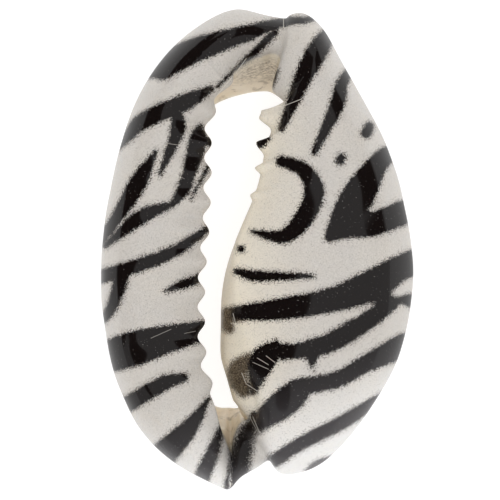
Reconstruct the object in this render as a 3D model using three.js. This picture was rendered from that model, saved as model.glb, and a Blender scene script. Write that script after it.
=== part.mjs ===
// A money cowrie whose back has been sliced off, so that one looks right through its toothed slot.
//
// It is one natural piece: a ring of shell wall round the slot. The ring is one closed surface of
// two parameters. "along" runs once round the slot, from the front canal down the outer lip, past
// the rear canal and up the columella side. "across" runs round the wall's own section, from the
// outside of the cut rim over the swollen base to the lip edge, and back inside to the cut rim.
//
// Frame: millimetres, +Z up out of the aperture side, z = 0 on the cut rim, +Y towards the front
// canal, and the origin at the middle of the footprint.
import * as THREE from "three";

// Driving dimensions.
const LENGTH = 22;
const DRAWN_LENGTH = 22; // the length that the tables below are written for
const MARGIN_HEIGHT = 3.5; // the widest line of the shell above the cut
const MARGIN_DROP = 0.7; // how much lower that line runs at the two ends
const RIM_INSET = 0.9; // how far the cut rim stands inside the widest line, along the sides
const RIM_INSET_ENDS = 1.1; // and how much further inside at the two ends
const WALL = 1.45; // thickness of the outer wall at its widest line
const ROOF = 1.7; // thickness of the swollen base over the hollow
const ALONG = 198; // steps round the ring
// Steps across a section from each rail to the next: two where it bends most.
const SPAN_STEPS = [1, 1, 2, 2, 2, 2, 1, 2, 2, 1, 1, 1, 2, 1, 1, 1, 1];

// Stations round the ring: margin x, y, lip edge x, y, inner edge of the cut x, y.
const STATIONS = [
  [1.2, 10.6, 0.75, 9.05, 0.4, 7.35],
  [0.2, 10.8, 0.2, 8.9, 0.0, 7.33],
  [-0.9, 11.0, -0.45, 8.65, -0.5, 7.25],
  [-2.25, 10.5, -1.15, 8.0, -1.25, 7.05],
  [-3.9, 9.2, -1.85, 6.95, -2.1, 6.65],
  [-5.35, 7.15, -2.35, 5.75, -3.3, 5.65],
  [-6.3, 4.55, -2.4, 4.1, -4.4, 3.7],
  [-6.95, 1.35, -2.5, 1.35, -5.0, 1.2],
  [-7.15, -1.4, -2.68, -1.4, -5.15, -1.4],
  [-6.85, -4.4, -2.7, -3.9, -4.9, -3.9],
  [-6.0, -7.1, -2.42, -5.9, -3.9, -5.9],
  [-4.7, -9.0, -1.95, -7.1, -2.65, -6.9],
  [-3.1, -10.2, -1.6, -8.3, -1.85, -7.3],
  [-1.8, -10.85, -1.38, -8.95, -1.5, -7.35],
  [-1.25, -11.0, -1.2, -9.4, -1.35, -7.35],
  [-0.9, -10.6, -1.15, -9.2, -1.2, -7.35],
  [-0.45, -10.25, -1.1, -8.75, -1.05, -7.37],
  [0.15, -9.9, -0.95, -8.3, -0.85, -7.35],
  [0.6, -9.7, -0.65, -7.9, -0.6, -7.25],
  [1.05, -10.25, -0.1, -7.65, 0.0, -7.2],
  [2.1, -10.2, -0.1, -7.0, 0.9, -6.9],
  [3.6, -9.3, -0.3, -6.3, 2.0, -6.3],
  [5.4, -7.05, -0.65, -5.2, 3.6, -5.5],
  [6.6, -4.6, -0.8, -4.0, 4.6, -3.9],
  [7.13, -1.65, -1.1, -1.9, 5.1, -1.6],
  [6.95, 1.0, -0.95, 0.3, 4.95, 0.8],
  [6.25, 3.95, -0.1, 2.5, 4.3, 3.2],
  [5.05, 6.55, 0.32, 4.2, 3.3, 5.3],
  [3.9, 8.6, 0.72, 5.5, 2.2, 6.2],
  [3.15, 9.95, 1.27, 6.6, 1.5, 6.65],
  [2.4, 10.7, 0.75, 7.2, 1.05, 7.05],
  [1.85, 10.85, 0.9, 8.1, 0.75, 7.25],
  [1.45, 10.7, 1.1, 8.8, 0.6, 7.32],
];

// The wall's profile at chosen stations: station, crest height, lip edge height, how far across the
// crest lies, how hollow it is under the base, how much of a columella hangs from the edge, and how
// far the columella's face stands out past the edge, along X and Y.
const PROFILES = [
  [0, 4.9, 4.6, 0.6, 0, 0, 0, 0],
  [2, 5.6, 4.8, 0.5, 0, 0, 0, 0],
  [4, 6.55, 5.3, 0.4, 0.4, 0, 0, 0],
  [6, 6.85, 5.6, 0.36, 1, 0, 0, 0],
  [8, 6.85, 5.6, 0.34, 1, 0, 0, 0],
  [10, 6.6, 5.5, 0.36, 0.9, 0, 0, 0],
  [12, 5.6, 4.9, 0.45, 0.2, 0, 0, 0],
  [14, 3.8, 3.6, 0.55, 0, 0, 0, 0],
  [16, 4.3, 3.9, 0.6, 0, 0, 0, 0],
  [18, 5.0, 4.6, 0.6, 0.1, 0.1, -0.15, 0.1],
  [19, 6.0, 5.3, 0.62, 0.6, 0.7, -0.7, 0.1],
  [20, 6.5, 5.5, 0.63, 1, 0.9, -1, 0.1],
  [21, 6.8, 5.7, 0.64, 1, 1, -1, 0.1],
  [23, 7.15, 5.9, 0.66, 1, 1, -0.88, 0],
  [24, 7.2, 5.9, 0.66, 1, 1, -0.5, 0],
  [25, 7.2, 5.9, 0.66, 1, 0.9, -0.1, 0],
  [27, 6.9, 5.7, 0.64, 0.9, 0.4, 0, 0],
  [29, 6.3, 5.3, 0.62, 0.2, 0, 0, 0],
  [31, 5.5, 4.9, 0.6, 0, 0, 0, 0],
];

// Rails under the lip edge, as steps towards the slot and upwards from that edge: the rolled
// underside of the toothed outer lip, and the thin columella that hangs into the hollow, whose
// steps are added to a share of how far its face stands out.
const LIP_UNDERSIDE = [
  [-0.15, -0.35],
  [-0.35, -0.75],
  [-0.75, -1.1],
  [-1.3, -1.15],
  [-1.9, -0.85],
];
const COLUMELLA = [
  [0, -1],
  [0, -2.1],
  [-0.3, -3.3],
  [-0.75, -2.6],
  [-0.75, -1.4],
];
const FACE_SHARES = [0.75, 1, 1, 1, 0.3];
// How far down the slope from the lip edge to the cut each inner rail lies at the open canals.
const CANAL_SHARES = [0.07, 0.16, 0.27, 0.4, 0.53, 0.66, 0.78, 0.9];

// Teeth that stand out from the lip edge into the slot. The outer lip has an even row down its
// length. The columella has four at its front end, steep on their front side and sloping behind,
// and the first of them is the longest.
const OUTER_LIP_TEETH = { count: 11, first: 7.556, pitch: 1.356, height: 0.34 };
const COLUMELLA_TEETH = [
  { y: 6.35, height: 1.0, front: 0.25, rear: 1.1 },
  { y: 4.9, height: 0.5, front: 0.25, rear: 0.7 },
  { y: 3.72, height: 0.3, front: 0.3, rear: 0.35 },
  { y: 2.48, height: 0.2, front: 0.3, rear: 0.35 },
];
// How much of a tooth each rail takes, from the crest over the lip edge to its underside.
const TOOTH_SHARES = { 5: 0.03, 6: 0.14, 7: 0.55, 8: 1, 9: 0.9, 10: 0.6, 11: 0.25 };
const OUTER_LIP_STATIONS = [3, 14];
const COLUMELLA_STATIONS = [25, 30];

// A smooth closed curve through [knot, value] pairs whose knots run round a period.
function loop(knots, values, period) {
  const count = knots.length;
  const knot = (i) => knots[(i + count) % count] + period * Math.floor(i / count);
  const value = (i) => values[(i + count) % count];
  const slope = (i) => (value(i + 1) - value(i - 1)) / (knot(i + 1) - knot(i - 1));
  return (where) => {
    const w = ((where % period) + period) % period;
    let i = count - 1;
    while (knots[i] > w) i -= 1;
    const span = knot(i + 1) - knot(i);
    const t = (w - knots[i]) / span;
    const [t2, t3] = [t * t, t * t * t];
    return (
      (2 * t3 - 3 * t2 + 1) * value(i) +
      (t3 - 2 * t2 + t) * span * slope(i) +
      (3 * t2 - 2 * t3) * value(i + 1) +
      (t3 - t2) * span * slope(i + 1)
    );
  };
}

const period = STATIONS.length;
const stationLoops = STATIONS[0].map((_, column) =>
  loop(STATIONS.keys().toArray(), STATIONS.map((row) => row[column]), period),
);
const profileKnots = PROFILES.map((row) => row[0]);
const profileLoops = [1, 2, 3, 4, 5, 6, 7].map((column) =>
  loop(profileKnots, PROFILES.map((row) => row[column]), period),
);
const clamp01 = (value) => THREE.MathUtils.clamp(value, 0, 1);

// A rounded tooth, one at its tip and nothing from the given half-widths on.
function bump(offset, front, rear) {
  const share = offset > 0 ? offset / front : -offset / rear;
  return Math.cos((Math.PI / 2) * Math.min(share, 1)) ** 2;
}

// How far the teeth stand out along X at one place: towards +X on the outer lip and towards -X on
// the columella.
function toothPush(along, y) {
  const { count, first, pitch, height } = OUTER_LIP_TEETH;
  let push = 0;
  if (along > OUTER_LIP_STATIONS[0] && along < OUTER_LIP_STATIONS[1]) {
    for (let i = 0; i < count; i += 1) {
      push += height * bump(y - (first - i * pitch), pitch / 2, pitch / 2);
    }
  }
  if (along > COLUMELLA_STATIONS[0] && along < COLUMELLA_STATIONS[1]) {
    for (const tooth of COLUMELLA_TEETH) {
      push -= tooth.height * bump(y - tooth.y, tooth.front, tooth.rear);
    }
  }
  return push;
}

// The rails of the wall's section at one place along the ring, as points.
function section(along) {
  const [marginX, marginY, edgeX, edgeY, cutX, cutY] = stationLoops.map((f) => f(along));
  const [crestZ, edgeZ, crestShare, hollow, hang, faceX, faceY] = profileLoops.map((f) =>
    f(along),
  );
  const margin = new THREE.Vector2(marginX, marginY);
  const edge = new THREE.Vector2(edgeX, edgeY);
  const cut = new THREE.Vector3(cutX, cutY, 0);
  const inwards = edge.clone().sub(margin).normalize();
  const reach = edge.distanceTo(margin);
  const endness = Math.abs(marginY) / (DRAWN_LENGTH / 2);
  const marginZ = MARGIN_HEIGHT - MARGIN_DROP * endness ** 4;
  const inset = RIM_INSET + RIM_INSET_ENDS * endness ** 6;
  const crestAt = crestShare * reach;
  const fall = reach - crestAt;
  const swell = crestZ - marginZ;
  const dip = crestZ - edgeZ;
  const at = (step, z) =>
    new THREE.Vector3(margin.x + inwards.x * step, margin.y + inwards.y * step, z);

  const outside = [
    at(inset, 0),
    at(0.35 * inset, 0.42 * marginZ),
    at(0, marginZ),
    at(0.17 * crestAt, marginZ + 0.62 * swell),
    at(0.52 * crestAt, marginZ + 0.91 * swell),
    at(crestAt, crestZ),
    at(crestAt + 0.55 * fall, crestZ - 0.28 * dip),
    at(crestAt + 0.88 * fall, crestZ - 0.7 * dip),
    at(reach, edgeZ),
  ];

  const hung = LIP_UNDERSIDE.map(([lipStep, lipZ], i) => {
    const [finStep, finZ] = COLUMELLA[i];
    const step = (1 - hang) * lipStep + hang * finStep;
    const point = at(reach + step, edgeZ + (1 - hang) * lipZ + hang * finZ);
    return point.add(new THREE.Vector3(faceX, faceY, 0).multiplyScalar(FACE_SHARES[i]));
  });
  const under = [
    ...hung,
    at(0.5 * reach, crestZ - ROOF),
    at(WALL, 0.95 * marginZ),
    at(WALL + 0.1, 0.45 * marginZ),
  ];
  const lip = at(reach, edgeZ);
  const inside = under.map((point, i) =>
    lip.clone().lerp(cut, CANAL_SHARES[i]).lerp(point, clamp01(hollow)),
  );
  const rails = [...outside, ...inside, cut];
  const push = toothPush(along, edgeY);
  for (const [rail, share] of Object.entries(TOOTH_SHARES)) {
    rails[rail].x += share * push;
  }
  return rails;
}

// The places round the ring where sections are taken: evenly spaced along the widest line and the
// toothed lip edge together.
function columnPlaces() {
  const fine = 40 * period;
  const walked = [0];
  let before;
  for (let i = 0; i <= fine; i += 1) {
    const along = ((i / fine) * period) % period;
    const [marginX, marginY, edgeX, edgeY] = stationLoops.map((f) => f(along));
    const here = [marginX, marginY, edgeX + toothPush(along, edgeY), edgeY];
    if (before) {
      const [mx, my, ex, ey] = here.map((value, k) => value - before[k]);
      walked.push(walked[i - 1] + Math.hypot(mx, my) + Math.hypot(ex, ey));
    }
    before = here;
  }
  const places = [];
  let i = 0;
  for (let column = 0; column < ALONG; column += 1) {
    const goal = (column / ALONG) * walked[fine];
    while (walked[i + 1] < goal) i += 1;
    const share = (goal - walked[i]) / (walked[i + 1] - walked[i]);
    places.push(((i + share) / fine) * period);
  }
  return places;
}

// The closed grid: a smooth curve through the rails at each place along the ring, with the flat cut
// closing it from the inner edge back to the outer one.
function ringSurface() {
  const lastRail = SPAN_STEPS.length;
  const stops = SPAN_STEPS.flatMap((steps, rail) =>
    Array.from({ length: steps }, (_, step) => (rail + step / steps) / lastRail),
  );
  stops.push(1);
  const across = stops.length;
  const positions = [];
  for (const along of columnPlaces()) {
    const curve = new THREE.CatmullRomCurve3(section(along), false, "centripetal");
    for (const stop of stops) positions.push(curve.getPoint(stop));
  }
  const faces = [];
  for (let i = 0; i < ALONG; i += 1) {
    const next = (i + 1) % ALONG;
    for (let j = 0; j < across; j += 1) {
      const over = (j + 1) % across;
      const [a, b, c, d] = [i * across + j, next * across + j, next * across + over, i * across + over];
      faces.push(a, b, d, b, c, d);
    }
  }
  const surface = new THREE.BufferGeometry().setFromPoints(positions);
  surface.setIndex(faces);
  return surface;
}

function shell() {
  const surface = ringSurface();
  surface.computeBoundingBox();
  const middle = surface.boundingBox.getCenter(new THREE.Vector3());
  surface.translate(-middle.x, -middle.y, -surface.boundingBox.min.z);
  const scale = LENGTH / (surface.boundingBox.max.y - surface.boundingBox.min.y);
  surface.scale(scale, scale, scale);
  surface.computeVertexNormals();
  const nacre = new THREE.MeshStandardMaterial({ color: 0xd9d2c5, roughness: 0.25, metalness: 0 });
  const mesh = new THREE.Mesh(surface, nacre);
  mesh.name = "shell";
  return mesh;
}

const cowrie = new THREE.Group();
cowrie.name = "cowrie_shell";
cowrie.add(shell());

export default cowrie;
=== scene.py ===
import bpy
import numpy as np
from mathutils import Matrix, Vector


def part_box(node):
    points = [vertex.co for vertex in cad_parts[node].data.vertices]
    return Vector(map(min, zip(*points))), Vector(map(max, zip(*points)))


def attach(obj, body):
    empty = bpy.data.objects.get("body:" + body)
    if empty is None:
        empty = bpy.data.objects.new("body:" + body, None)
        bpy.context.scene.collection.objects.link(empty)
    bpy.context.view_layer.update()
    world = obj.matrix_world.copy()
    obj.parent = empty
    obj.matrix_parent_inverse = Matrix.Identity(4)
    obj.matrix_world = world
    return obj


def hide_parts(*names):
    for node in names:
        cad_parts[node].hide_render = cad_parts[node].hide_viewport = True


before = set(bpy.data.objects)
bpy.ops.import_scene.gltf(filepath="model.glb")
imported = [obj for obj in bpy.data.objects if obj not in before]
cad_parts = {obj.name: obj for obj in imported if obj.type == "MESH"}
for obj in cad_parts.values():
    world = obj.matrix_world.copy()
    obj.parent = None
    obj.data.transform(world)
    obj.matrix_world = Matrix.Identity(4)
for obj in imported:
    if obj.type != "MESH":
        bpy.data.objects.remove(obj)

# %% [markdown]
# # A sliced zebra-printed cowrie
#
# The subject is a money cowrie whose domed back has been cut off, so that one looks straight down
# through its toothed slot. What is left is a ring of shell wall: a broad outer lip on the left, and
# the swollen last whorl with the columella on the right. Its base is printed with black stripes.
#
# The shell is drawn in millimetres and turned into metres when the mesh is made. The studio round
# it is in metres.

MM = 0.001
box_low, box_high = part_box("shell")
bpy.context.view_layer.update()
shell_length = (box_high.y - box_low.y) / MM
print(f"the CAD shell is {shell_length:.2f} mm long")

# %% [markdown]
# ## The ring of the shell
#
# A cowrie grows as a spiral, but its adult base is easier to see as a wall that runs once round the
# slot. Each row below is one place on that walk: the widest line of the shell, the edge of the lip,
# and the inner edge of the sawn rim, as seen from above. The walk starts at the front canal, goes
# down the outer lip, rounds the rear canal and comes back up the columella side.

# %% The walk round the slot
# Columns: margin x, y, lip edge x, y, inner edge of the cut x, y.
STATIONS = np.array([
    [1.2, 10.6, 0.75, 9.05, 0.4, 7.35],
    [0.2, 10.8, 0.2, 8.9, 0.0, 7.33],
    [-0.9, 11.0, -0.45, 8.65, -0.5, 7.25],
    [-2.25, 10.5, -1.15, 8.0, -1.25, 7.05],
    [-3.9, 9.2, -1.85, 6.95, -2.1, 6.65],
    [-5.35, 7.15, -2.35, 5.75, -3.3, 5.65],
    [-6.3, 4.55, -2.4, 4.1, -4.4, 3.7],
    [-6.95, 1.35, -2.5, 1.35, -5.0, 1.2],
    [-7.15, -1.4, -2.68, -1.4, -5.15, -1.4],
    [-6.85, -4.4, -2.7, -3.9, -4.9, -3.9],
    [-6.0, -7.1, -2.42, -5.9, -3.9, -5.9],
    [-4.7, -9.0, -1.95, -7.1, -2.65, -6.9],
    [-3.1, -10.2, -1.6, -8.3, -1.85, -7.3],
    [-1.8, -10.85, -1.38, -8.95, -1.5, -7.35],
    [-1.25, -11.0, -1.2, -9.4, -1.35, -7.35],
    [-0.9, -10.6, -1.15, -9.2, -1.2, -7.35],
    [-0.45, -10.25, -1.1, -8.75, -1.05, -7.37],
    [0.15, -9.9, -0.95, -8.3, -0.85, -7.35],
    [0.6, -9.7, -0.65, -7.9, -0.6, -7.25],
    [1.05, -10.25, -0.1, -7.65, 0.0, -7.2],
    [2.1, -10.2, -0.1, -7.0, 0.9, -6.9],
    [3.6, -9.3, -0.3, -6.3, 2.0, -6.3],
    [5.4, -7.05, -0.65, -5.2, 3.6, -5.5],
    [6.6, -4.6, -0.8, -4.0, 4.6, -3.9],
    [7.13, -1.65, -1.1, -1.9, 5.1, -1.6],
    [6.95, 1.0, -0.95, 0.3, 4.95, 0.8],
    [6.25, 3.95, -0.1, 2.5, 4.3, 3.2],
    [5.05, 6.55, 0.32, 4.2, 3.3, 5.3],
    [3.9, 8.6, 0.72, 5.5, 2.2, 6.2],
    [3.15, 9.95, 1.27, 6.6, 1.5, 6.65],
    [2.4, 10.7, 0.75, 7.2, 1.05, 7.05],
    [1.85, 10.85, 0.9, 8.1, 0.75, 7.25],
    [1.45, 10.7, 1.1, 8.8, 0.6, 7.32],
])

# Columns: station, crest height, lip edge height, how far across the crest lies, how hollow the wall
# is under the base, how much of a columella hangs from the edge, and how far its face stands out.
PROFILES = np.array([
    [0, 4.9, 4.6, 0.6, 0, 0, 0, 0],
    [2, 5.6, 4.8, 0.5, 0, 0, 0, 0],
    [4, 6.55, 5.3, 0.4, 0.4, 0, 0, 0],
    [6, 6.85, 5.6, 0.36, 1, 0, 0, 0],
    [8, 6.85, 5.6, 0.34, 1, 0, 0, 0],
    [10, 6.6, 5.5, 0.36, 0.9, 0, 0, 0],
    [12, 5.6, 4.9, 0.45, 0.2, 0, 0, 0],
    [14, 3.8, 3.6, 0.55, 0, 0, 0, 0],
    [16, 4.3, 3.9, 0.6, 0, 0, 0, 0],
    [18, 5.0, 4.6, 0.6, 0.1, 0.1, -0.15, 0.1],
    [19, 6.0, 5.3, 0.62, 0.6, 0.7, -0.7, 0.1],
    [20, 6.5, 5.5, 0.63, 1, 0.9, -1, 0.1],
    [21, 6.8, 5.7, 0.64, 1, 1, -1, 0.1],
    [23, 7.15, 5.9, 0.66, 1, 1, -0.88, 0],
    [24, 7.2, 5.9, 0.66, 1, 1, -0.5, 0],
    [25, 7.2, 5.9, 0.66, 1, 0.9, -0.1, 0],
    [27, 6.9, 5.7, 0.64, 0.9, 0.4, 0, 0],
    [29, 6.3, 5.3, 0.62, 0.2, 0, 0, 0],
    [31, 5.5, 4.9, 0.6, 0, 0, 0, 0],
])


def closed_curve(knots, values, period, where):
    """Values at each place along a closed curve through the knots.

    The curve is a cubic between knots, and its second slopes are chosen so that both the direction
    and the bend carry on smoothly across every knot, the last one leading back to the first. So a
    highlight runs over it with no crease.
    """
    count = len(knots)
    span = np.diff(np.append(knots, knots[0] + period))
    before = np.roll(span, 1)
    rise = (np.roll(values, -1, axis=0) - values) / span[:, None]
    matrix = np.zeros((count, count))
    here = np.arange(count)
    matrix[here, here] = 2 * (span + before)
    matrix[here, (here + 1) % count] = span
    matrix[here, here - 1] = before
    bend = np.linalg.solve(matrix, 6 * (rise - np.roll(rise, 1, axis=0)))
    place = np.mod(where - knots[0], period) + knots[0]
    i = np.searchsorted(knots, place, side="right") - 1
    j = (i + 1) % count
    h = span[i][:, None]
    b = ((place - knots[i]) / span[i])[:, None]
    a = 1 - b
    return a * values[i] + b * values[j] + ((a**3 - a) * bend[i] + (b**3 - b) * bend[j]) * h**2 / 6


PERIOD = len(STATIONS)
STATION_KNOTS = np.arange(PERIOD, dtype=float)
COLUMNS = 720
print(f"{PERIOD} stations, {COLUMNS} columns")

# %% [markdown]
# ## Teeth on the lip
#
# The outer lip has an even comb of short rounded teeth, and the columella has a few at its front
# end, the first of them the longest. Each tooth pushes the lip edge into the slot as a squared
# cosine, which rises and falls with no corner.

# %% Tooth pushes
LIP_TEETH = {"count": 11, "first": 7.556, "pitch": 1.356, "height": 0.34}
# Each columella tooth: y, height, half-width towards the front, half-width towards the rear.
COLUMELLA_TEETH = [
    (6.35, 1.0, 0.14, 1.1),
    (5.9, 0.2, 0.35, 0.45),
    (4.9, 0.5, 0.17, 0.7),
    (3.72, 0.3, 0.25, 0.35),
    (2.48, 0.18, 0.25, 0.3),
]


def tooth_bump(offset, front, rear):
    """A rounded bump: the squared cosine of the offset, which fades out at each half-width."""
    share = np.where(offset > 0, offset / front, -offset / rear)
    return np.cos(np.pi / 2 * np.minimum(share, 1)) ** 2


def tooth_push(places, edge_y):
    """How far the teeth push the lip edge along X at each place round the ring."""
    lip_side = (places > 3) & (places < 14)
    columella_side = (places > 25) & (places < 30)
    half = LIP_TEETH["pitch"] / 2
    push = np.zeros(len(places))
    for i in range(LIP_TEETH["count"]):
        tooth_y = LIP_TEETH["first"] - i * LIP_TEETH["pitch"]
        push += lip_side * LIP_TEETH["height"] * tooth_bump(edge_y - tooth_y, half, half)
    for tooth_y, height, front, rear in COLUMELLA_TEETH:
        push -= columella_side * height * tooth_bump(edge_y - tooth_y, front, rear)
    return push


# The columns are spaced evenly along the margin and the toothed edge together.
fine = np.linspace(0, PERIOD, 12001)
fine_plan = closed_curve(STATION_KNOTS, STATIONS, PERIOD, fine)
fine_plan[:, 2] += tooth_push(np.mod(fine, PERIOD), fine_plan[:, 3])
steps = np.diff(fine_plan, axis=0)
walked = np.append(0, np.cumsum(np.hypot(*steps[:, 0:2].T) + np.hypot(*steps[:, 2:4].T)))
along = np.interp(np.arange(COLUMNS) / COLUMNS * walked[-1], walked, fine)
plan = closed_curve(STATION_KNOTS, STATIONS, PERIOD, along)
profile = closed_curve(PROFILES[:, 0], PROFILES[:, 1:], PERIOD, along)
print(f"columns {walked[-1] / 2 / COLUMNS:.3f} mm apart on average")

# %% [markdown]
# ## The wall's section
#
# At each place the wall is drawn through eighteen rails: up the outside from the sawn rim to the
# widest line, over the swollen base, down to the lip edge, under it, and back down the inside.
# Where the shell is solid, at the two canals, the inner rails lie on the slope from edge to rim.

# %% Rails
MARGIN_HEIGHT, MARGIN_DROP = 3.5, 0.7
RIM_INSET, RIM_INSET_ENDS = 0.9, 1.1
WALL, ROOF = 1.45, 1.7
LIP_UNDERSIDE = [(-0.15, -0.35), (-0.35, -0.75), (-0.75, -1.1), (-1.3, -1.15), (-1.9, -0.85)]
COLUMELLA = [(0, -1), (0, -2.1), (-0.3, -3.3), (-0.75, -2.6), (-0.75, -1.4)]
FACE_SHARES = [0.75, 1, 1, 1, 0.3]
# How much of a tooth's push each rail near the lip edge takes.
TOOTH_SHARES = {5: 0.03, 6: 0.14, 7: 0.55, 8: 1.0, 9: 0.9, 10: 0.6, 11: 0.25}
# How high the ridge behind each tooth stands on the rails of the lip.
RIDGE_RISES = {5: 0.04, 6: 0.13, 7: 0.16, 8: 0.07}
CANAL_SHARES = np.array([0.07, 0.16, 0.27, 0.4, 0.53, 0.66, 0.78, 0.9])

crest_z, edge_z, crest_share, hollow, hang, face_x, face_y = profile.T
hollow, hang = np.clip(hollow, 0, 1), np.clip(hang, 0, 1)
margin = plan[:, 0:2]
edge = plan[:, 2:4].copy()
push = tooth_push(along, edge[:, 1])
cut = plan[:, 4:6]
reach = np.linalg.norm(edge - margin, axis=1)
inwards = (edge - margin) / reach[:, None]
endness = np.abs(margin[:, 1]) / 11
margin_z = MARGIN_HEIGHT - MARGIN_DROP * endness**4
inset = RIM_INSET + RIM_INSET_ENDS * endness**6
crest_at = crest_share * reach
fall = reach - crest_at
swell = crest_z - margin_z
dip = crest_z - edge_z


def rail(step, z):
    """Points a step inwards from the margin at height z, one for each column."""
    flat = margin + inwards * np.reshape(step, (-1, 1))
    return np.column_stack([flat, np.broadcast_to(z, COLUMNS)])


outside = [
    rail(inset, 0),
    rail(0.35 * inset, 0.42 * margin_z),
    rail(np.zeros(COLUMNS), margin_z),
    rail(0.17 * crest_at, margin_z + 0.62 * swell),
    rail(0.52 * crest_at, margin_z + 0.91 * swell),
    rail(crest_at, crest_z),
    rail(crest_at + 0.55 * fall, crest_z - 0.28 * dip),
    rail(crest_at + 0.88 * fall, crest_z - 0.7 * dip),
    rail(reach, edge_z),
]
under = []
for (lip_step, lip_z), (fin_step, fin_z), share in zip(LIP_UNDERSIDE, COLUMELLA, FACE_SHARES):
    hung = rail(reach + lip_step + hang * (fin_step - lip_step), edge_z + lip_z + hang * (fin_z - lip_z))
    hung[:, 0] += face_x * share
    hung[:, 1] += face_y * share
    under.append(hung)
under += [
    rail(0.5 * reach, crest_z - ROOF),
    rail(np.full(COLUMNS, WALL), 0.95 * margin_z),
    rail(np.full(COLUMNS, WALL + 0.1), 0.45 * margin_z),
]
lip_point = outside[-1]
cut_point = np.column_stack([cut, np.zeros(COLUMNS)])
inside = [
    (lip_point + share * (cut_point - lip_point)) * (1 - hollow[:, None]) + point * hollow[:, None]
    for share, point in zip(CANAL_SHARES, under)
]
rails = np.stack([*outside, *inside, cut_point], axis=1)
for number, share in TOOTH_SHARES.items():
    rails[:, number, 0] += share * push
lip_side = (along > 3.5) & (along < 13.5)
ridge = np.where(lip_side, push / LIP_TEETH["height"] - 0.5, -0.5 * push)
for number, rise in RIDGE_RISES.items():
    rails[:, number, 2] += rise * ridge
print("rails:", rails.shape)

# %% [markdown]
# ## From rails to a smooth skin
#
# A cubic is run through the rails of each column, with steps that grow as the square root of the
# gap between rails, which keeps it from looping where rails lie close. More points are spent on
# the base and the lip edge, which carry the print and the teeth, than on the hidden inner wall.

# %% The skin
RAIL_STEPS = [4, 4, 8, 8, 10, 14, 12, 12, 10, 8, 7, 6, 5, 5, 4, 5, 4]
CUT_STEPS = 4


def through_rails(points, counts):
    """A natural cubic through each column's points: straight at both ends, smooth everywhere else."""
    gaps = np.sqrt(np.linalg.norm(np.diff(points, axis=1), axis=2))
    n = points.shape[1]
    matrix = np.zeros((len(points), n, n))
    target = np.zeros_like(points)
    matrix[:, 0, 0] = matrix[:, -1, -1] = 1
    inner = np.arange(1, n - 1)
    matrix[:, inner, inner] = 2 * (gaps[:, :-1] + gaps[:, 1:])
    matrix[:, inner, inner - 1] = gaps[:, :-1]
    matrix[:, inner, inner + 1] = gaps[:, 1:]
    rise = np.diff(points, axis=1) / gaps[:, :, None]
    target[:, 1:-1] = 6 * np.diff(rise, axis=1)
    bend = np.linalg.solve(matrix, target)
    place = np.concatenate([i + np.arange(count) / count for i, count in enumerate(counts)] + [[n - 1]])
    i = np.minimum(place.astype(int), n - 2)
    b = (place - i)[None, :, None]
    a = 1 - b
    h = gaps[:, i, None]
    curve = a * points[:, i] + b * points[:, i + 1]
    return curve + ((a**3 - a) * bend[:, i] + (b**3 - b) * bend[:, i + 1]) * h**2 / 6, place


skin, across = through_rails(rails, RAIL_STEPS)


def undulation(points, seed, longest, shortest, count):
    """Slow swells: the average of waves that run in scattered directions with scattered lengths."""
    rng = np.random.default_rng(seed)
    direction = rng.normal(size=(count, 3))
    direction /= np.linalg.norm(direction, axis=1)[:, None]
    length = rng.uniform(shortest, longest, count)
    phase = rng.uniform(0, 2 * np.pi, count)
    turns = direction * (2 * np.pi / length)[:, None]
    return np.sin(points @ turns.T + phase).sum(axis=-1) / np.sqrt(count)


def skin_normals(points):
    """Unit normals of the skin, pointing out of the wall."""
    round_ring = np.roll(points, -1, axis=0) - np.roll(points, 1, axis=0)
    over_wall = np.gradient(points, axis=1)
    normal = np.cross(round_ring, over_wall)
    return normal / np.linalg.norm(normal, axis=2)[:, :, None]


SWELL = 0.016
off_rim = np.clip(np.minimum(across, across[-1] - across) / 0.8, 0, 1)[None, :]
skin += skin_normals(skin) * (SWELL * off_rim * undulation(skin, 4, 3.6, 1.6, 14))[:, :, None]
cut_shares = np.arange(1, CUT_STEPS)[None, :, None] / CUT_STEPS
cut_strip = skin[:, -1:] + cut_shares * (skin[:, :1] - skin[:, -1:])
print("skin:", skin.shape)

# %% [markdown]
# ## The zebra print
#
# The stripes were printed on the base by hand or by transfer: they follow the swelling of the shell,
# fork, taper to points and have soft, sandy edges. Each stripe is a brush stroke, a smooth path
# whose half-width changes as it goes. Strokes are laid on a map of the shell: seen from above as far
# as the widest line, then unrolled outwards, so that they wrap on down the side walls.

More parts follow.
